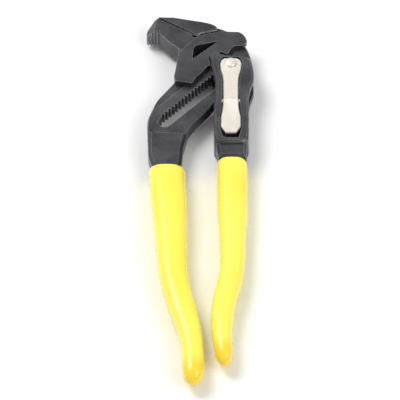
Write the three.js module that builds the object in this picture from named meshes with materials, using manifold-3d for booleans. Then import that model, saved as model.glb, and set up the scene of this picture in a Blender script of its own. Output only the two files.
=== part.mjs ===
import * as THREE from 'three';
import { mergeVertices } from 'three/addons/utils/BufferGeometryUtils.js';
import Module from 'manifold-3d';

const wasm = await Module();
wasm.setup();

// Driving dimensions, in mm, drawn about the slotted plate's mid-plane
const CLEAR = 0.35;
const PLATE_HALF = 3.5;
const JAW_HALF = 6.5;
const BOX_HALF = 8.4;
const TANG_HALF = 5.0;
const GAP_Z = PLATE_HALF + CLEAR;
const SLIDE_DEG = 46.4;
const BOLT_X = 16.4;
const BOLT_Y = 92.5;
const GUIDE_OFFSET = 16.4;
const SLOT_HALF = 3.7;
const SLOT_BACK = 51;
const SLOT_FRONT = 4.6;
const TOOTH_PITCH = 2.53;
const TOOTH_DEPTH = 1.2;
const LOBE_X = 7.9;
const LOBE_Y = 98.2;
const LOBE_R = 2.9;
const OPEN_DEG = 16;
const REACH_RAD = 0.046;
const JAW_PER_RAD = 10.3;
const BUSH_R = SLOT_HALF - CLEAR;
const SHANK_R = 2.1;
const BUSH_BORE_R = SHANK_R + CLEAR;
const COLLAR_R = SLOT_HALF - CLEAR;
const COLLAR_Z0 = 1.7;
const COLLAR_Z1 = 3.3;
const BOLT_HEAD_R = 2.9;
const BOLT_HEAD_H = 1.5;
const LEVER_Z0 = 6.3;
const LEVER_Z1 = 8.3;
const PIN_Y = 67.5;
const PIN_Z = 6.4;
const PIN_R = 1.1;
const HUB_R = 2.1;
const JAW_STEP = 0.9;
const RIDGE_OFFSET = 9.6;
const RIDGE_STEP = 0.7;
const CHANNEL_GAP = 0.7;
const HEAD_FLOOR = 5.7;
const PADDLE_FLOOR = 3.8;
const WASHER_R = 4.0;
const WASHER_T = 0.55;
const RING_R = 3.4;
const RING_T = 0.5;
const BORE_FLOOR = -4.75;
const SPRING_Y = 52.5;
const SPRING_R = 2.0;
const SPRING_WIRE = 0.32;
const SPRING_TURNS = 4;
const SPRING_SEAT = 0.4;
const TANG_CHAMFER = 1.8;
const HEAD_END = 37.8;
const CHANNEL_END = 40.5;
const NECK_HALF = 6.4;
const NECK_CHAMFER = 1.6;
const NECK_END = 29.7;
const GRIP_WALL = 2.7;
const NOSE_X = -28.5;
const NOSE_FACET_X = -23;
const NOSE_FACET_Z = 0.5;
const SERRATION_PITCH = 1.6;
const SERRATION_DEPTH = 1.2;

const RAD = Math.PI / 180;
const SX = Math.cos(SLIDE_DEG * RAD);
const SY = Math.sin(SLIDE_DEG * RAD);

// Point at distance s along the slide line through the bolt and n to its upper left
function along(s, n) {
  return [BOLT_X + s * SX - n * SY, BOLT_Y + s * SY + n * SX];
}

// Closed outline with a rounded corner wherever a point carries a radius
function rounded(points) {
  const out = [];
  const count = points.length;
  for (let i = 0; i < count; i += 1) {
    const [x, y, r] = points[i];
    if (!r) {
      out.push([x, y]);
      continue;
    }
    const a = points[(i + count - 1) % count];
    const b = points[(i + 1) % count];
    const la = Math.hypot(a[0] - x, a[1] - y);
    const lb = Math.hypot(b[0] - x, b[1] - y);
    const cut = Math.min(r, la * 0.45, lb * 0.45);
    const p0 = [x + (a[0] - x) * cut / la, y + (a[1] - y) * cut / la];
    const p1 = [x + (b[0] - x) * cut / lb, y + (b[1] - y) * cut / lb];
    for (let k = 0; k <= 4; k += 1) {
      const t = k / 4;
      const u = 1 - t;
      out.push([
        u * u * p0[0] + 2 * u * t * x + t * t * p1[0],
        u * u * p0[1] + 2 * u * t * y + t * t * p1[1],
      ]);
    }
  }
  return out;
}

function shapeOf(points) {
  return new THREE.Shape(points.map((p) => new THREE.Vector2(p[0], p[1])));
}

// Solid from a geometry, ready to join and cut
function solid(geometry) {
  const g = geometry.clone();
  g.deleteAttribute('normal');
  g.deleteAttribute('uv');
  const m = mergeVertices(g, 1e-4);
  const tri = [];
  for (let i = 0; i < m.index.count; i += 3) {
    const [a, b, c] = [m.index.getX(i), m.index.getX(i + 1), m.index.getX(i + 2)];
    if (a !== b && b !== c && c !== a) tri.push(a, b, c);
  }
  return new wasm.Manifold(new wasm.Mesh({
    numProp: 3,
    vertProperties: new Float32Array(m.attributes.position.array),
    triVerts: new Uint32Array(tri),
  }));
}

// Plate between two heights with an optional chamfer round both faces
function plate(points, z0, z1, chamfer = 0) {
  const g = new THREE.ExtrudeGeometry(shapeOf(points), {
    depth: z1 - z0 - 2 * chamfer,
    bevelEnabled: chamfer > 0,
    bevelThickness: chamfer,
    bevelSize: chamfer,
    bevelOffset: -chamfer,
    bevelSegments: 1,
  });
  g.translate(0, 0, z0 + chamfer);
  return g;
}

function slab(points, z0, z1, chamfer = 0) {
  return solid(plate(points, z0, z1, chamfer));
}

function rod(r, z0, z1, x, y, sides = 32) {
  const g = new THREE.CylinderGeometry(r, r, z1 - z0, sides);
  g.rotateX(Math.PI / 2);
  g.translate(x, y, (z0 + z1) / 2);
  return solid(g);
}

function crossRod(r, x0, x1, y, z, sides = 20) {
  const g = new THREE.CylinderGeometry(r, r, x1 - x0, sides);
  g.rotateZ(Math.PI / 2);
  g.translate((x0 + x1) / 2, y, z);
  return solid(g);
}

// Outline pushed outward by a fixed distance
function grown(points, d) {
  const count = points.length;
  let area = 0;
  for (let i = 0; i < count; i += 1) {
    const a = points[i];
    const b = points[(i + 1) % count];
    area += a[0] * b[1] - a[1] * b[0];
  }
  const side = area > 0 ? 1 : -1;
  const out = [];
  for (let i = 0; i < count; i += 1) {
    const a = points[(i + count - 1) % count];
    const p = points[i];
    const b = points[(i + 1) % count];
    const l1 = Math.hypot(p[0] - a[0], p[1] - a[1]);
    const l2 = Math.hypot(b[0] - p[0], b[1] - p[1]);
    const n1 = [(p[1] - a[1]) / l1 * side, -(p[0] - a[0]) / l1 * side];
    const n2 = [(b[1] - p[1]) / l2 * side, -(b[0] - p[0]) / l2 * side];
    const k = 1 + n1[0] * n2[0] + n1[1] * n2[1];
    const m = Math.max(k, 0.5);
    out.push([p[0] + (n1[0] + n2[0]) * d / m, p[1] + (n1[1] + n2[1]) * d / m]);
  }
  return out;
}

function halfPlane(s0, s1, n0, n1) {
  return [along(s0, n0), along(s1, n0), along(s1, n1), along(s0, n1)];
}

// Handle sleeve lofted through rows of [y, left x, right x, half thickness]
function sleeve(rows) {
  const sides = 24;
  const pos = [];
  const idx = [];
  for (const [y, x0, x1, h] of rows) {
    const cx = (x0 + x1) / 2;
    const w = (x1 - x0) / 2;
    for (let k = 0; k < sides; k += 1) {
      const a = k / sides * Math.PI * 2;
      const c = Math.cos(a);
      const s = Math.sin(a);
      const e = 2 / 2.5;
      pos.push(cx + w * Math.sign(c) * Math.abs(c) ** e, y, h * Math.sign(s) * Math.abs(s) ** e);
    }
  }
  const last = rows.length - 1;
  for (let r = 0; r < last; r += 1) {
    for (let k = 0; k < sides; k += 1) {
      const a = r * sides + k;
      const b = r * sides + (k + 1) % sides;
      idx.push(a, b, a + sides, b, b + sides, a + sides);
    }
  }
  for (const r of [0, last]) {
    const c = pos.length / 3;
    pos.push((rows[r][1] + rows[r][2]) / 2, rows[r][0], 0);
    for (let k = 0; k < sides; k += 1) {
      const a = r * sides + k;
      const b = r * sides + (k + 1) % sides;
      if (r === 0) idx.push(c, b, a);
      else idx.push(c, a, b);
    }
  }
  const g = new THREE.BufferGeometry();
  g.setAttribute('position', new THREE.Float32BufferAttribute(pos, 3));
  g.setIndex(idx);
  const m = new wasm.Manifold(new wasm.Mesh({
    numProp: 3,
    vertProperties: new Float32Array(g.attributes.position.array),
    triVerts: new Uint32Array(g.index.array),
  }));
  return m;
}

// Rounded closing rows for a sleeve's lower end
function domed(rows, endX, endY) {
  const [y, x0, x1, h] = rows[rows.length - 1];
  const out = rows.slice();
  const cx = (x0 + x1) / 2;
  const w = (x1 - x0) / 2;
  for (const t of [0.35, 0.62, 0.82, 0.94, 0.995]) {
    const k = Math.sqrt(1 - t * t);
    const x = cx + (endX - cx) * t;
    out.push([y + (endY - y) * t, x - w * k, x + w * k, h * k]);
  }
  return out;
}

// Outlines of the slotted arm
const jawFace0 = [-22.2, 126.4];
const jawFace1 = [-4.2, 115.4];
const guide0 = along(-21.5, GUIDE_OFFSET);
const guide1 = along(6.3, GUIDE_OFFSET);
const plateLine = rounded([
  [-27.6, 38],
  [-28.1, 56.4, 4],
  [-24.9, 65.4, 4],
  [-22.9, 70.5, 4],
  [guide0[0] - 3.4, guide0[1] - 5.2, 3],
  [guide0[0], guide0[1], 3],
  [guide1[0], guide1[1]],
  [5.9, 109.9, 1],
  [jawFace1[0], jawFace1[1]],
  jawFace0,
  [-14.3, 126.5],
  [-6.3, 124.8],
  [0.5, 123.5],
  [6, 122.4, 3],
  [11.6, 120.9, 4],
  [17.5, 117.4, 4],
  [22.6, 112, 4],
  [25.9, 105, 4],
  [27.5, 98, 4],
  [27.2, 92, 4],
  [25, 86.5, 4],
  [20, 80, 4],
  [14, 74.5],
  [7.4, 68.6, 3],
  [4.8, 64.4],
  [0, 58.5, 3],
  [-2.9, 54.8],
  [-5.8, 50.2, 3],
  [-7.4, 46],
  [-8.8, 38],
]);
const jawLine = rounded([
  jawFace0,
  [-14.3, 126.5, 1],
  [-6.3, 124.8, 2],
  [0.5, 123.5, 2],
  [5.4, 122.2, 2],
  [8.8, 120.4, 1.5],
  [9.6, 117.3, 1.2],
  [0, 114.8, 1],
  [-1.6, 113.4, 0.8],
  [-3.5, 113.9, 0.8],
  jawFace1,
]);
const leftRows = [
  [24, -26.8, -8.6, 6.2],
  [21.5, -27.3, -7.6, 6.9],
  [12.4, -26.6, -7.7, 7.2],
  [2, -25.9, -7.1, 7.2],
  [-8.3, -24.9, -7.0, 7.1],
  [-29, -23.3, -7.0, 6.9],
  [-46.3, -21.9, -6.6, 6.7],
  [-56.7, -20.1, -5.3, 6.6],
  [-70.5, -16.9, -2.0, 6.5],
  [-84.3, -12.4, 0.5, 6.4],
  [-94.7, -10.2, 1.6, 6.3],
  [-105, -9.5, 2.1, 6.2],
  [-112, -9.3, 2.3, 6.1],
];
const rightRows = [
  [29, 9.4, 24.6, 6.2],
  [26.5, 8.7, 25.4, 6.9],
  [12, 8.9, 25.3, 7.2],
  [-8.3, 9.3, 25.2, 7.1],
  [-22, 10.1, 24.3, 7.0],
  [-36, 10.5, 24.0, 6.8],
  [-46.3, 10.2, 23.3, 6.7],
  [-56.7, 8.2, 21.7, 6.6],
  [-67, 6.3, 19.1, 6.5],
  [-77.4, 5.5, 17.7, 6.4],
  [-87.8, 6.0, 17.0, 6.3],
  [-98.2, 7.5, 17.2, 6.2],
];

// Tang outline that follows a sleeve inside its wall
function tangLine(rows, top) {
  const left = [];
  const right = [];
  for (const [y, x0, x1] of rows.slice(1)) {
    left.push([x0 + GRIP_WALL, y]);
    right.push([x1 - GRIP_WALL, y]);
  }
  return [...top, ...right, ...left.reverse()];
}

const leftTang = tangLine(leftRows, [[-27.4, 32], [-27.7, 49], [-6.9, 47.4], [-8.9, 38]]);
const rightTang = tangLine(rightRows, [[9.2, 34], [8.2, 50], [25.2, 50], [24.4, 34]]);

// Toothed slot, with the rack along its upper left edge
const slotLine = [];
for (let k = 0; k <= 8; k += 1) {
  const a = (-90 - k * 22.5) * RAD;
  slotLine.push(along(-SLOT_BACK + SLOT_HALF * Math.cos(a), SLOT_HALF * Math.sin(a)));
}
const rackStart = -SLOT_BACK + 1.2;
const teeth = Math.floor((SLOT_BACK + SLOT_FRONT - 2.4) / TOOTH_PITCH);
for (let k = 0; k < teeth; k += 1) {
  const s = rackStart + k * TOOTH_PITCH;
  slotLine.push(along(s + TOOTH_PITCH * 0.25, SLOT_HALF));
  slotLine.push(along(s + TOOTH_PITCH * 0.4, SLOT_HALF + TOOTH_DEPTH));
  slotLine.push(along(s + TOOTH_PITCH * 0.72, SLOT_HALF + TOOTH_DEPTH));
  slotLine.push(along(s + TOOTH_PITCH * 0.87, SLOT_HALF));
}
for (let k = 0; k <= 8; k += 1) {
  const a = (90 - k * 22.5) * RAD;
  slotLine.push(along(SLOT_FRONT + SLOT_HALF * Math.cos(a), SLOT_HALF * Math.sin(a)));
}

const ridgeLine = halfPlane(-SLOT_BACK + 0.5, -6, RIDGE_OFFSET, GUIDE_OFFSET + 12);
const slottedArm = slab(plateLine, -PLATE_HALF, PLATE_HALF, 0.6)
  .add(slab(jawLine, -JAW_HALF, JAW_HALF, 0.5))
  .add(slab(leftTang, -TANG_HALF, TANG_HALF, TANG_CHAMFER))
  .subtract(slab(slotLine, -10, 10))
  .subtract(slab(ridgeLine, PLATE_HALF - RIDGE_STEP, 20))
  .subtract(slab(ridgeLine, -20, RIDGE_STEP - PLATE_HALF));

// Box arm: fork of two cheeks, the neck, and the lever channel in its front
const boxLine = rounded([
  [7.4, HEAD_END, 5],
  [7.4, 64.4, 3],
  [8.1, 70, 3],
  [8.1, 81.6, 3],
  [7.0, 87.2, 3],
  [5.9, 91.8],
  [5.7, 95.4],
  ...[200, 165, 135, 105, 75, 45].map((a) => [
    LOBE_X + LOBE_R * Math.cos(a * RAD),
    LOBE_Y + LOBE_R * Math.sin(a * RAD),
  ]),
  [13.2, 98.9, 1.5],
  [16.4, 98.4, 1.5],
  [21.2, 98.6, 2],
  [25.2, 97, 2],
  [27.4, 95, 2],
  [28.6, 87.2, 3],
  [28.6, 81.6, 3],
  [27.5, 78.2, 2],
  [26.4, 74, 2],
  [25.9, 70, 3],
  [25.9, HEAD_END, 5],
]);
const forkGap = [[-40, 110], [-40, 63], [7.6, 63], [15, 66], [27, 71.5], [60, 84], [60, 110]];
const leverHalf = [
  [3.4, 96.2],
  [5.0, 94.9],
  [5.8, 92.4],
  [5.4, 88],
  [4.4, 84],
  [4.0, 80.5],
  [4.0, 69],
  [4.2, 63],
  [4.6, 59],
  [5.3, 55.4],
  [5.3, 48.5],
  [2.7, 44.4],
];
const leverLine = [
  ...leverHalf.map(([w, y]) => [BOLT_X - w, y]).reverse(),
  ...leverHalf.map(([w, y]) => [BOLT_X + w, y]),
].reverse();
const channelSide = leverHalf.map(([w, y]) => [w + CHANNEL_GAP, y]);
channelSide[0][1] += CHANNEL_GAP;
channelSide[channelSide.length - 1][1] = CHANNEL_END;
channelSide[channelSide.length - 1][0] += 0.8;
function channel(side) {
  return [
    ...side.map(([w, y]) => [BOLT_X + w, y]).reverse(),
    ...side.map(([w, y]) => [BOLT_X - w, y]),
  ];
}
const channelLine = channel(channelSide);
const waist = channelSide.filter(([, y]) => y < 70);
const paddleLine = channel([[waist[0][0], PIN_Y + HUB_R + 2.5], ...waist]);
const neckLine = [
  [9.8, NECK_END],
  [8.3, 42],
  [8.3, 50],
  [25.2, 50],
  [25.2, 42],
  [24.5, NECK_END],
];
const springPocket = rod(SPRING_R + SPRING_WIRE + 0.4, SPRING_SEAT - CLEAR, 6, BOLT_X, SPRING_Y, 24);

const boxArm = slab(boxLine, -BOX_HALF, BOX_HALF, 1.0)
  .subtract(slab(forkGap, -GAP_Z, GAP_Z))
  .add(slab(rightTang, -TANG_HALF, TANG_HALF, TANG_CHAMFER))
  .add(slab(neckLine, -NECK_HALF, NECK_HALF, NECK_CHAMFER))
  .subtract(slab(channelLine, HEAD_FLOOR, 20))
  .subtract(slab(paddleLine, PADDLE_FLOOR, 20))
  .subtract(springPocket)
  .subtract(rod(COLLAR_R + 0.3, GAP_Z - 1, 20, BOLT_X, BOLT_Y))
  .subtract(rod(BUSH_R + 0.3, -20, 0, BOLT_X, BOLT_Y))
  .subtract(rod(WASHER_R + CLEAR, -20, BORE_FLOOR, BOLT_X, BOLT_Y))
  .subtract(crossRod(PIN_R + 0.3, 8.4, 40, PIN_Y, PIN_Z));

// Sliding jaw: full head, two cheeks round the plate, window and serrated nose
const faceLen = Math.hypot(jawFace1[0] - jawFace0[0], jawFace1[1] - jawFace0[1]);
const offX = (jawFace1[1] - jawFace0[1]) / faceLen * CLEAR;
const offY = -(jawFace1[0] - jawFace0[0]) / faceLen * CLEAR;
const cheekLine = rounded([
  [jawFace0[0] + offX, jawFace0[1] + offY],
  [-24.2, 125.6, 1.2],
  [NOSE_X, 120.5, 1.5],
  [NOSE_X + 0.1, 117.4, 1],
  [NOSE_X + 2, 116.2],
  [-21.9, 115.8, 1],
  [-19, 112.6],
  [-15.9, 109.0],
  [-10.8, 105.0, 2],
  [-11.2, 100.5, 3],
  [-12.2, 95.4, 3],
  [-13.9, 84, 1],
  [-13.2, 81.6, 1],
  [-4.2, 80.2, 1],
  [-2.6, 83.6, 1],
  [1.6, 88.5, 1],
  [3.5, 91.6],
  [7.2, 93.8, 0.8],
  [7.4, 95.6, 0.8],
  [8, 99],
  [11, 102.2],
  [14.6, 100.2, 0.6],
  [15.9, 103, 1],
  [18, 106.2, 1],
  [22.8, 106.4, 1.5],
  [25.4, 109, 1.5],
  [23.8, 113.3, 1.5],
  [21.2, 115.9, 2],
  [11.6, 116.2, 1],
  [5.8, 115, 1],
  [0, 113.5, 1],
  [-1.6, 112.6],
  [-3.9, 113.2],
  [jawFace1[0] + offX, jawFace1[1] + offY],
]);
const windowLine = rounded([
  [-4.2, 96.6, 1.4],
  [-3.3, 106.2, 2],
  [10, 109.6, 1.4],
]);
const webCut = halfPlane(-60, 60, -60, GUIDE_OFFSET + CLEAR);
const faceCut = [
  [jawFace0[0] + offX - 30, jawFace0[1] + offY + 30 * 0.611],
  [jawFace0[0] + offX, jawFace0[1] + offY],
  [jawFace1[0] + offX, jawFace1[1] + offY],
  [jawFace1[0] + offX + 40 * 0.853, jawFace1[1] + offY - 40 * 0.521],
  [60, 150],
  [-52, 150],
];
let slidingJaw = slab(cheekLine, -JAW_HALF, JAW_HALF)
  .subtract(slab(windowLine, -20, 20))
  .subtract(slab(webCut, -GAP_Z, GAP_Z))
  .subtract(slab(faceCut, -GAP_Z, GAP_Z));

// Jaw head set a little lower than the cheeks, on both faces
const headLine = [
  [-10.2, 102.8],
  [-5.3, 108.8],
  [-1.2, 112.7],
  [-2, 118],
  [-30, 135],
  [-45, 110],
  [-14, 101],
];
slidingJaw = slidingJaw
  .subtract(slab(headLine, JAW_HALF - JAW_STEP, 20))
  .subtract(slab(headLine, -20, JAW_STEP - JAW_HALF));

// Sloped facet on the front of the nose, then serrations across its underside
const facetRun = NOSE_FACET_X - NOSE_X;
const facetDrop = JAW_HALF - NOSE_FACET_Z;
const facet = new THREE.BoxGeometry(30, 60, 20);
facet.translate(-15, 0, 10);
facet.rotateY(-Math.atan2(facetDrop, facetRun));
facet.rotateZ(-8 * RAD);
facet.translate(NOSE_FACET_X, 120, JAW_HALF);
slidingJaw = slidingJaw.subtract(solid(facet));
for (let k = 0; k < 4; k += 1) {
  const x = NOSE_X + 1.7 + k * SERRATION_PITCH;
  const half = SERRATION_PITCH * 0.3;
  const base = 115.6;
  const top = 116.2 + SERRATION_DEPTH;
  slidingJaw = slidingJaw.subtract(
    slab([[x - half, base - 2], [x + half, base - 2], [x + half, top], [x - half, top]], -20, 20),
  );
}

// Room for the lobe and cheeks of the box arm as it turns and as the reach changes
const sweepPlate = plate(boxLine.filter((p) => p[1] > 60), -20, 20);
sweepPlate.translate(-BOLT_X, -BOLT_Y, 0);
const openSteps = 8;
function sweepCut(turn, reach) {
  const back = JAW_PER_RAD * turn;
  for (let q = 0; q < 8; q += 1) {
    const turned = sweepPlate.clone();
    turned.rotateZ(turn + reach);
    turned.translate(
      BOLT_X + back * SX + CLEAR * Math.cos(q * 45 * RAD),
      BOLT_Y + back * SY + CLEAR * Math.sin(q * 45 * RAD),
      0,
    );
    slidingJaw = slidingJaw.subtract(solid(turned));
  }
}
for (let k = 0; k <= openSteps; k += 1) {
  sweepCut(OPEN_DEG * RAD * k / openSteps, 0);
  sweepCut(OPEN_DEG * RAD * k / openSteps, REACH_RAD);
}
slidingJaw = slidingJaw.decompose().sort((a, b) => b.volume() - a.volume())[0];

// Sleeves, hollowed round the tangs
const leftGrip = sleeve(domed(leftRows, -3.7, -121.5))
  .subtract(slab(grown(leftTang, CLEAR), -TANG_HALF - CLEAR, TANG_HALF + CLEAR, TANG_CHAMFER));
const rightGrip = sleeve(domed(rightRows, 13, -108.5))
  .subtract(slab(grown(rightTang, CLEAR), -TANG_HALF - CLEAR, TANG_HALF + CLEAR, TANG_CHAMFER));

// Rocker lever with its hub, eye and cross ridges
let lever = slab(leverLine, LEVER_Z0, LEVER_Z1, 0.45)
  .add(crossRod(HUB_R, BOLT_X - 3.6, BOLT_X + 3.6, PIN_Y, PIN_Z, 24))
  .subtract(rod(SHANK_R + 0.45, 0, 20, BOLT_X, BOLT_Y))
  .subtract(crossRod(PIN_R + 0.3, 0, 40, PIN_Y, PIN_Z));
for (let k = 0; k < 5; k += 1) {
  lever = lever.subtract(crossRod(0.35, 0, 40, 74 + k * 1.9, LEVER_Z1 + 0.1, 8));
}

// Pin, bolt, bush, washer and ring
const pinSolid = crossRod(PIN_R, 8.8, 25.4, PIN_Y, PIN_Z);
const boltRear = -BOX_HALF + 0.1;
const headBase = LEVER_Z1 + 0.3;
const boltProfile = [
  [0, boltRear],
  [SHANK_R, boltRear],
  [SHANK_R, headBase],
  [BOLT_HEAD_R, headBase],
  [BOLT_HEAD_R, headBase + BOLT_HEAD_H * 0.55],
  [BOLT_HEAD_R * 0.8, headBase + BOLT_HEAD_H * 0.85],
  [BOLT_HEAD_R * 0.4, headBase + BOLT_HEAD_H],
  [0, headBase + BOLT_HEAD_H],
];
const boltLathe = new THREE.LatheGeometry(boltProfile.map((p) => new THREE.Vector2(p[0], p[1])), 32);
boltLathe.rotateX(Math.PI / 2);
boltLathe.translate(BOLT_X, BOLT_Y, 0);
const collarLine = [];
const collarTeeth = 8;
for (let k = 0; k < collarTeeth; k += 1) {
  for (const [t, r] of [[0.1, 0], [0.45, 0], [0.62, 0.6], [0.93, 0.6]]) {
    const a = (k + t) / collarTeeth * Math.PI * 2;
    collarLine.push([BOLT_X + (COLLAR_R - r) * Math.cos(a), BOLT_Y + (COLLAR_R - r) * Math.sin(a)]);
  }
}
const ringZ = boltRear + 0.1;
const boltSolid = solid(boltLathe)
  .add(slab(collarLine, COLLAR_Z0, COLLAR_Z1))
  .subtract(rod(SHANK_R + 1, ringZ - 0.1, ringZ + RING_T + 0.2, BOLT_X, BOLT_Y)
    .subtract(rod(SHANK_R - 0.5, -20, 20, BOLT_X, BOLT_Y)));
const bushRear = BORE_FLOOR + 0.1;
const bushSolid = rod(BUSH_R, bushRear, COLLAR_Z0 - 0.4, BOLT_X, BOLT_Y)
  .subtract(rod(BUSH_BORE_R, -20, 20, BOLT_X, BOLT_Y));
const washerTop = bushRear - 0.3;
const washerSolid = rod(WASHER_R, washerTop - WASHER_T, washerTop, BOLT_X, BOLT_Y)
  .subtract(rod(BUSH_BORE_R, -20, 20, BOLT_X, BOLT_Y));
const ringSolid = rod(RING_R, ringZ, ringZ + RING_T, BOLT_X, BOLT_Y)
  .subtract(rod(SHANK_R - 0.2, -20, 20, BOLT_X, BOLT_Y));

// Coil spring under the paddle, one unbroken wire
const springTop = LEVER_Z0 - CLEAR - SPRING_WIRE;
const springLow = SPRING_SEAT + SPRING_WIRE;
class Coil extends THREE.Curve {
  getPoint(t, target = new THREE.Vector3()) {
    const a = t * SPRING_TURNS * Math.PI * 2;
    return target.set(
      BOLT_X + SPRING_R * Math.cos(a),
      SPRING_Y + SPRING_R * Math.sin(a),
      springLow + (springTop - springLow) * t,
    );
  }
}
const wireShape = new THREE.Shape();
for (let k = 0; k < 5; k += 1) {
  const a = k / 5 * Math.PI * 2;
  if (k === 0) wireShape.moveTo(SPRING_WIRE * Math.cos(a), SPRING_WIRE * Math.sin(a));
  else wireShape.lineTo(SPRING_WIRE * Math.cos(a), SPRING_WIRE * Math.sin(a));
}
const coil = new Coil();
const springSolid = solid(new THREE.ExtrudeGeometry(wireShape, {
  steps: SPRING_TURNS * 8,
  extrudePath: coil,
  bevelEnabled: false,
}));
let leastGap = Infinity;
const samples = coil.getPoints(SPRING_TURNS * 32);
for (let i = 0; i < samples.length; i += 1) {
  for (let j = i + 20; j < samples.length; j += 1) {
    leastGap = Math.min(leastGap, samples[i].distanceTo(samples[j]) - 2 * SPRING_WIRE);
  }
}
console.log(`lever_spring least gap to itself ${leastGap.toFixed(2)} mm`);

const steel = { color: 0x55585c, metalness: 0.85, roughness: 0.45 };
const plated = { color: 0xe6dccb, metalness: 0.9, roughness: 0.3 };
const vinyl = { color: 0xf7dc3a, metalness: 0, roughness: 0.35 };
const pieces = [
  ['slotted_arm', slottedArm, steel],
  ['box_arm', boxArm, steel],
  ['sliding_jaw', slidingJaw, steel],
  ['left_grip', leftGrip, vinyl],
  ['right_grip', rightGrip, vinyl],
  ['rocker_lever', lever, plated],
  ['lever_pin', pinSolid, plated],
  ['joint_bolt', boltSolid, plated],
  ['pivot_bush', bushSolid, steel],
  ['rear_washer', washerSolid, steel],
  ['retaining_ring', ringSolid, steel],
  ['lever_spring', springSolid, plated],
];

// Whole tool set on its rear faces with the box centre over the origin
const box = new THREE.Box3();
for (const [, s] of pieces) {
  const b = s.boundingBox();
  box.expandByPoint(new THREE.Vector3(...b.min));
  box.expandByPoint(new THREE.Vector3(...b.max));
}
const shift = new THREE.Vector3((box.min.x + box.max.x) / -2, (box.min.y + box.max.y) / -2, -box.min.z);
console.log(`shift ${shift.x.toFixed(4)} ${shift.y.toFixed(4)} ${shift.z.toFixed(4)} mm`);

const group = new THREE.Group();
group.name = 'pliers_wrench';
for (const [name, s, look] of pieces) {
  const m = s.getMesh();
  const g = new THREE.BufferGeometry();
  g.setAttribute('position', new THREE.Float32BufferAttribute(m.vertProperties, 3));
  g.setIndex(new THREE.Uint32BufferAttribute(m.triVerts, 1));
  g.translate(shift.x, shift.y, shift.z);
  g.computeVertexNormals();
  const mesh = new THREE.Mesh(g, new THREE.MeshStandardMaterial(look));
  mesh.name = name;
  group.add(mesh);
}

export default group;
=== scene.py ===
import math

import bmesh
import bpy
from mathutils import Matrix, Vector


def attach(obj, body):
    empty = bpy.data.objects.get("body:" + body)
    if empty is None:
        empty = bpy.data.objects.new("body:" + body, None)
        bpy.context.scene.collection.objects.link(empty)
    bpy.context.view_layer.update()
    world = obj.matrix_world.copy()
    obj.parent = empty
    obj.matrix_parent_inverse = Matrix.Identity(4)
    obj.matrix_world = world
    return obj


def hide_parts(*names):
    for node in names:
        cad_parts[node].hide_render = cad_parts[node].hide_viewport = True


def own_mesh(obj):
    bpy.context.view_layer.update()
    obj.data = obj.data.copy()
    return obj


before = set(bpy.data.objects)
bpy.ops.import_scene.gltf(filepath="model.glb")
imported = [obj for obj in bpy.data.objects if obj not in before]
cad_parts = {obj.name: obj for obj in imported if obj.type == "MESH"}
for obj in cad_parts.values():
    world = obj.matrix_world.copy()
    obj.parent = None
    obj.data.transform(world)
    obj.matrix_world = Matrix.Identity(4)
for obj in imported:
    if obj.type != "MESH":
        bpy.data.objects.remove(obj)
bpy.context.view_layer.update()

MM = 0.001

# Framing, from the photograph: 400 pixels across at this scale, seen from the handle end
IMAGE_PX = 400
PX_PER_MM = 1.89
VIEW_ELEVATION = math.radians(50)
VIEW_DISTANCE = 8.0
AIM = Vector((-0.07, -3.8, 14.9)) * MM
SENSOR_MM = 36

# Plain studio: floor, even surroundings and two lamps as (name, place, size, power)
FLOOR_HALF = 4.0
FLOOR_DROP = 0.3 * MM
FLOOR_TONE = (0.93, 0.93, 0.93, 1)
FLOOR_ROUGHNESS = 0.8
WORLD_STRENGTH = 0.55
LAMPS = (
    ("key", (-0.7, 0.5, 1.3), 0.9, 14),
    ("fill", (0.9, -0.6, 1.0), 1.0, 7),
)

# Width of eased edges, and the angle in degrees from which an edge is sharp
STEEL_EDGE = 0.30 * MM
PLATE_EDGE = 0.18 * MM
EDGE_SEGMENTS = 2
PLATE_SHARP = 28
ROUND_SHARP = 40
GRIP_SHARP = 50
SPRING_SHARP = 60

# Points this close are one, and faces that differ by less than this angle are one flat
MERGE_DISTANCE = 0.002 * MM
FLAT_DEG = 0.6

# Where the painted shade at the grips' tips begins, and the length over which it deepens
TIP_SHADE_FADE = 8 * MM
LEFT_TIP_SHADE_Y = -107 * MM
RIGHT_TIP_SHADE_Y = -95 * MM

# Slot of the slotted arm, from the bolt's axis at rest, and how far a wall's normal may lean to Z
BOLT_AXIS = Vector((16.33, 89.98)) * MM
SLOT_ANGLE = math.radians(46.4)
SLOT_BACK = -56 * MM
SLOT_FRONT = 9.5 * MM
SLOT_SIDE = 5.4 * MM
WALL_LEAN = 0.3

# Colour sockets of the Mix node, whose names repeat, and the Bevel node's samples
MIX_A = 6
MIX_B = 7
MIX_RESULT = 2
BEVEL_SAMPLES = 6


def new_material(name):
    """Node material, with its nodes, links, shader and texture coordinates."""
    mat = bpy.data.materials.new(name)
    mat.use_nodes = True
    nodes = mat.node_tree.nodes
    shader = nodes["Principled BSDF"]
    coords = nodes.new("ShaderNodeTexCoord")
    return mat, nodes, mat.node_tree.links, shader, coords


def noise(nodes, links, coords, scale, detail, stretch=(1, 1, 1)):
    """Noise over the object's own coordinates, stretched along its axes."""
    mapping = nodes.new("ShaderNodeMapping")
    mapping.inputs["Scale"].default_value = stretch
    links.new(coords.outputs["Object"], mapping.inputs["Vector"])
    tex = nodes.new("ShaderNodeTexNoise")
    tex.inputs["Scale"].default_value = scale
    tex.inputs["Detail"].default_value = detail
    links.new(mapping.outputs["Vector"], tex.inputs["Vector"])
    return tex.outputs["Fac"]


def ramp(nodes, links, value, stops):
    """Colour ramp between two (position, grey or colour) stops."""
    node = nodes.new("ShaderNodeValToRGB")
    for element, (place, colour) in zip(node.color_ramp.elements, stops):
        element.position = place
        if isinstance(colour, (int, float)):
            colour = (colour, colour, colour)
        element.color = (*colour, 1)
    links.new(value, node.inputs["Fac"])
    return node.outputs["Color"]


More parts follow.
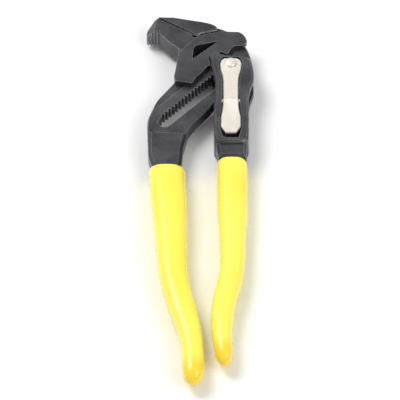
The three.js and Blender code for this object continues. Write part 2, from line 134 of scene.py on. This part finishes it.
def mix(nodes, links, factor, base, colour):
    """The base socket's colour where factor is 0, and a plain colour where it is 1."""
    node = nodes.new("ShaderNodeMix")
    node.data_type = "RGBA"
    links.new(factor, node.inputs["Factor"])
    links.new(base, node.inputs[MIX_A])
    node.inputs[MIX_B].default_value = (*colour, 1)
    return node.outputs[MIX_RESULT]


def product(nodes, links, a, b):
    """Product of two sockets, kept within 0 and 1."""
    node = nodes.new("ShaderNodeMath")
    node.operation = "MULTIPLY"
    node.use_clamp = True
    links.new(a, node.inputs[0])
    links.new(b, node.inputs[1])
    return node.outputs["Value"]


def edge_mask(nodes, links, radius):
    """1 along sharp edges, 0 on flats, from how far a rounded normal leans."""
    bevel = nodes.new("ShaderNodeBevel")
    bevel.samples = BEVEL_SAMPLES
    bevel.inputs["Radius"].default_value = radius
    geometry = nodes.new("ShaderNodeNewGeometry")
    dot = nodes.new("ShaderNodeVectorMath")
    dot.operation = "DOT_PRODUCT"
    links.new(bevel.outputs["Normal"], dot.inputs[0])
    links.new(geometry.outputs["Normal"], dot.inputs[1])
    return ramp(nodes, links, dot.outputs["Value"], [(0.86, 1.0), (0.985, 0.0)])


def bump(nodes, links, shader, height, strength, distance):
    """Small relief from a height value."""
    node = nodes.new("ShaderNodeBump")
    node.inputs["Strength"].default_value = strength
    node.inputs["Distance"].default_value = distance
    links.new(height, node.inputs["Height"])
    links.new(node.outputs["Normal"], shader.inputs["Normal"])


def forged_steel(name, dark, light, edge):
    """Phosphated forging: mottled grey, fine grain and bright edges, partly wear and partly
    painted highlight.
    """
    mat, nodes, links, shader, coords = new_material(name)
    cloud = noise(nodes, links, coords, scale=90, detail=5)
    grain = noise(nodes, links, coords, scale=1900, detail=3)
    body = ramp(nodes, links, cloud, [(0.32, dark), (0.68, light)])
    patchy = noise(nodes, links, coords, scale=420, detail=4)
    # Bright edges in patches, partly wear and partly painted highlight along every sharp edge.
    edge_patches = ramp(nodes, links, patchy, [(0.3, 0.35), (0.6, 1.0)])
    worn_and_highlit_edges = product(nodes, links, edge_mask(nodes, links, radius=0.45 * MM), edge_patches)
    links.new(mix(nodes, links, worn_and_highlit_edges, body, edge), shader.inputs["Base Color"])
    shader.inputs["Metallic"].default_value = 0.75
    links.new(ramp(nodes, links, grain, [(0.3, 0.25), (0.7, 0.42)]), shader.inputs["Roughness"])
    bump(nodes, links, shader, grain, strength=0.35, distance=0.08 * MM)
    return mat


def nickel(name, base, shade):
    """Warm nickel plate with a faint lengthwise brushing."""
    mat, nodes, links, shader, coords = new_material(name)
    brushed = noise(nodes, links, coords, scale=900, detail=3, stretch=(1, 0.06, 1))
    cloud = noise(nodes, links, coords, scale=160, detail=3)
    body = ramp(nodes, links, cloud, [(0.3, shade), (0.65, base)])
    links.new(body, shader.inputs["Base Color"])
    shader.inputs["Metallic"].default_value = 0.55
    links.new(ramp(nodes, links, brushed, [(0.3, 0.27), (0.7, 0.36)]), shader.inputs["Roughness"])
    bump(nodes, links, shader, brushed, strength=0.08, distance=0.03 * MM)
    return mat


def cut_steel_slot_light(name, base, shade):
    """Bare milled steel with fine tool marks across the cut; its bright tone is painted light,
    standing in for the white seen through the slot.
    """
    mat, nodes, links, shader, coords = new_material(name)
    marks = noise(nodes, links, coords, scale=1400, detail=3, stretch=(1, 1, 0.15))
    links.new(ramp(nodes, links, marks, [(0.3, shade), (0.7, base)]), shader.inputs["Base Color"])
    shader.inputs["Metallic"].default_value = 0.3
    links.new(ramp(nodes, links, marks, [(0.3, 0.30), (0.7, 0.45)]), shader.inputs["Roughness"])
    bump(nodes, links, shader, marks, strength=0.1, distance=0.03 * MM)
    return mat


def dipped_vinyl(name, base, deep, tip_shade, tip_shade_y):
    """Glossy dipped skin: slow colour drift, painted shade deepening the tip, soft ripple and a
    clear coat.
    """
    mat, nodes, links, shader, coords = new_material(name)
    drift = noise(nodes, links, coords, scale=28, detail=2)
    ripple = noise(nodes, links, coords, scale=140, detail=1)
    body = ramp(nodes, links, drift, [(0.35, deep), (0.65, base)])
    axes = nodes.new("ShaderNodeSeparateXYZ")
    links.new(coords.outputs["Object"], axes.inputs["Vector"])
    tip_shade_fade = nodes.new("ShaderNodeMapRange")
    tip_shade_fade.inputs["From Min"].default_value = tip_shade_y
    tip_shade_fade.inputs["From Max"].default_value = tip_shade_y - TIP_SHADE_FADE
    links.new(axes.outputs["Y"], tip_shade_fade.inputs["Value"])
    # Painted shade: toward the grip's end the colour turns to the deeper tip tone.
    links.new(mix(nodes, links, tip_shade_fade.outputs["Result"], body, tip_shade), shader.inputs["Base Color"])
    links.new(ramp(nodes, links, ripple, [(0.3, 0.24), (0.7, 0.34)]), shader.inputs["Roughness"])
    shader.inputs["Coat Weight"].default_value = 0.35
    shader.inputs["Coat Roughness"].default_value = 0.12
    bump(nodes, links, shader, ripple, strength=0.05, distance=0.06 * MM)
    return mat


# The edge tones below are bright edges, partly wear and partly painted highlight.
STEEL = forged_steel(
    "phosphated_steel",
    dark=(0.058, 0.058, 0.062),
    light=(0.114, 0.115, 0.121),
    edge=(0.54, 0.54, 0.55),
)
DARK_STEEL = forged_steel(
    "blackened_steel",
    dark=(0.05, 0.05, 0.055),
    light=(0.10, 0.10, 0.11),
    edge=(0.45, 0.45, 0.46),
)
# Painted light: this bright tone on the slot's plain wall stands in for the white seen through
# the slot.
CUT_STEEL_SLOT_LIGHT = cut_steel_slot_light("cut_steel_slot_light", base=(0.80, 0.80, 0.79), shade=(0.66, 0.66, 0.66))
NICKEL = nickel("warm_nickel", base=(0.95, 0.89, 0.80), shade=(0.90, 0.83, 0.73))
# Base and deep tones of both grips, then the tone of the painted shade at their tips
VINYL_TONES = ((1.0, 0.90, 0.115), (1.0, 0.84, 0.08), (0.98, 0.70, 0.035))
LEFT_VINYL = dipped_vinyl("left_vinyl", *VINYL_TONES, LEFT_TIP_SHADE_Y)
RIGHT_VINYL = dipped_vinyl("right_vinyl", *VINYL_TONES, RIGHT_TIP_SHADE_Y)


def dressed(node, body, material, slot, edge, sharp_deg):
    """Piece with the node's own form, its flats made whole and its edges eased."""
    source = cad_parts[node]
    mesh = bpy.data.meshes.new(node + "_look")
    bm = bmesh.new()
    bm.from_mesh(source.data)
    bmesh.ops.remove_doubles(bm, verts=bm.verts, dist=MERGE_DISTANCE)
    if edge:
        bmesh.ops.dissolve_limit(
            bm, angle_limit=math.radians(FLAT_DEG), verts=bm.verts, edges=bm.edges
        )
    for face in bm.faces:
        face.smooth = True
    for e in bm.edges:
        e.smooth = e.calc_face_angle(0) < math.radians(sharp_deg)
    bm.to_mesh(mesh)
    bm.free()
    piece = bpy.data.objects.new(node + "_look", mesh)
    bpy.context.scene.collection.objects.link(piece)
    mesh.materials.append(material)
    if edge:
        mod = piece.modifiers.new("eased_edges", "BEVEL")
        mod.width = edge
        mod.segments = EDGE_SEGMENTS
        mod.limit_method = "ANGLE"
        mod.angle_limit = math.radians(sharp_deg)
        mod.harden_normals = True
        mod.use_clamp_overlap = True
    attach(piece, body)
    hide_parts(node)
    return piece


# Slotted arm, with the plain wall of its slot as bare cut steel painted bright, standing in for
# the white seen through the slot
arm = dressed("slotted_arm", "slotted_half", STEEL, "phosphated_steel", STEEL_EDGE, PLATE_SHARP)
slot_light_index = len(arm.data.materials)
arm.data.materials.append(CUT_STEEL_SLOT_LIGHT)
slot_along = Vector((math.cos(SLOT_ANGLE), math.sin(SLOT_ANGLE)))
slot_across = Vector((-math.sin(SLOT_ANGLE), math.cos(SLOT_ANGLE)))
for face in arm.data.polygons:
    offset = face.center.to_2d() - BOLT_AXIS
    in_length = SLOT_BACK < offset.dot(slot_along) < SLOT_FRONT
    plain_side = -SLOT_SIDE < offset.dot(slot_across) < 0
    if in_length and plain_side and abs(face.normal.z) < WALL_LEAN:
        face.material_index = slot_light_index

# The other pieces that show, then the hidden ones in their own form
for row in (
    ("box_arm", "box_half", STEEL, "phosphated_steel", STEEL_EDGE, PLATE_SHARP),
    ("sliding_jaw", "jaw", STEEL, "phosphated_steel", STEEL_EDGE, PLATE_SHARP),
    ("left_grip", "slotted_half", LEFT_VINYL, "dipped_vinyl", 0, GRIP_SHARP),
    ("right_grip", "box_half", RIGHT_VINYL, "dipped_vinyl", 0, GRIP_SHARP),
    ("rocker_lever", "lever", NICKEL, "plated_steel", PLATE_EDGE, PLATE_SHARP),
    ("lever_pin", "box_half", NICKEL, "plated_steel", PLATE_EDGE, ROUND_SHARP),
    ("joint_bolt", "bolt", NICKEL, "plated_steel", PLATE_EDGE, ROUND_SHARP),
):
    dressed(*row)
for hidden in ("pivot_bush", "rear_washer", "retaining_ring"):
    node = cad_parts[hidden]
    node.data.materials.clear()
    node.data.materials.append(DARK_STEEL)

# Spring, given a mesh of its own; on the real tool it is pressed flatter on its seat as the lever
# rocks
spring = dressed("lever_spring", "box_half", NICKEL, "plated_steel", 0, SPRING_SHARP)
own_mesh(spring)

# Floor, light and camera
floor_mesh = bpy.data.meshes.new("floor")
corners = [
    (-FLOOR_HALF, -FLOOR_HALF, 0),
    (FLOOR_HALF, -FLOOR_HALF, 0),
    (FLOOR_HALF, FLOOR_HALF, 0),
    (-FLOOR_HALF, FLOOR_HALF, 0),
]
floor_mesh.from_pydata(corners, [], [(0, 1, 2, 3)])
floor = bpy.data.objects.new("floor", floor_mesh)
bpy.context.scene.collection.objects.link(floor)
floor.location.z = -FLOOR_DROP
floor_mat, _, _, floor_shader, _ = new_material("floor")
floor_shader.inputs["Base Color"].default_value = FLOOR_TONE
floor_shader.inputs["Roughness"].default_value = FLOOR_ROUGHNESS
floor_mesh.materials.append(floor_mat)

world = bpy.data.worlds.new("studio")
bpy.context.scene.world = world
world.use_nodes = True
surroundings = world.node_tree.nodes["Background"]
surroundings.inputs["Color"].default_value = (1, 1, 1, 1)
surroundings.inputs["Strength"].default_value = WORLD_STRENGTH


def soft_lamp(name, place, size, power):
    """Round area lamp turned to the tool."""
    data = bpy.data.lights.new(name, "AREA")
    data.shape = "DISK"
    data.size = size
    data.energy = power
    lamp = bpy.data.objects.new(name, data)
    bpy.context.scene.collection.objects.link(lamp)
    lamp.location = place
    lamp.rotation_euler = (AIM - Vector(place)).to_track_quat("-Z", "Y").to_euler()


for lamp_row in LAMPS:
    soft_lamp(*lamp_row)

camera_data = bpy.data.cameras.new("camera")
camera_data.sensor_width = SENSOR_MM
camera_data.lens = SENSOR_MM * VIEW_DISTANCE / (IMAGE_PX / PX_PER_MM * MM)
camera_data.clip_end = 3 * VIEW_DISTANCE
camera = bpy.data.objects.new("camera", camera_data)
bpy.context.scene.collection.objects.link(camera)
back = Vector((0, -math.cos(VIEW_ELEVATION), math.sin(VIEW_ELEVATION)))
camera.location = AIM + back * VIEW_DISTANCE
camera.rotation_euler = (-back).to_track_quat("-Z", "Y").to_euler()
bpy.context.scene.camera = camera
bpy.context.scene.view_settings.view_transform = "Standard"

bpy.context.view_layer.update()
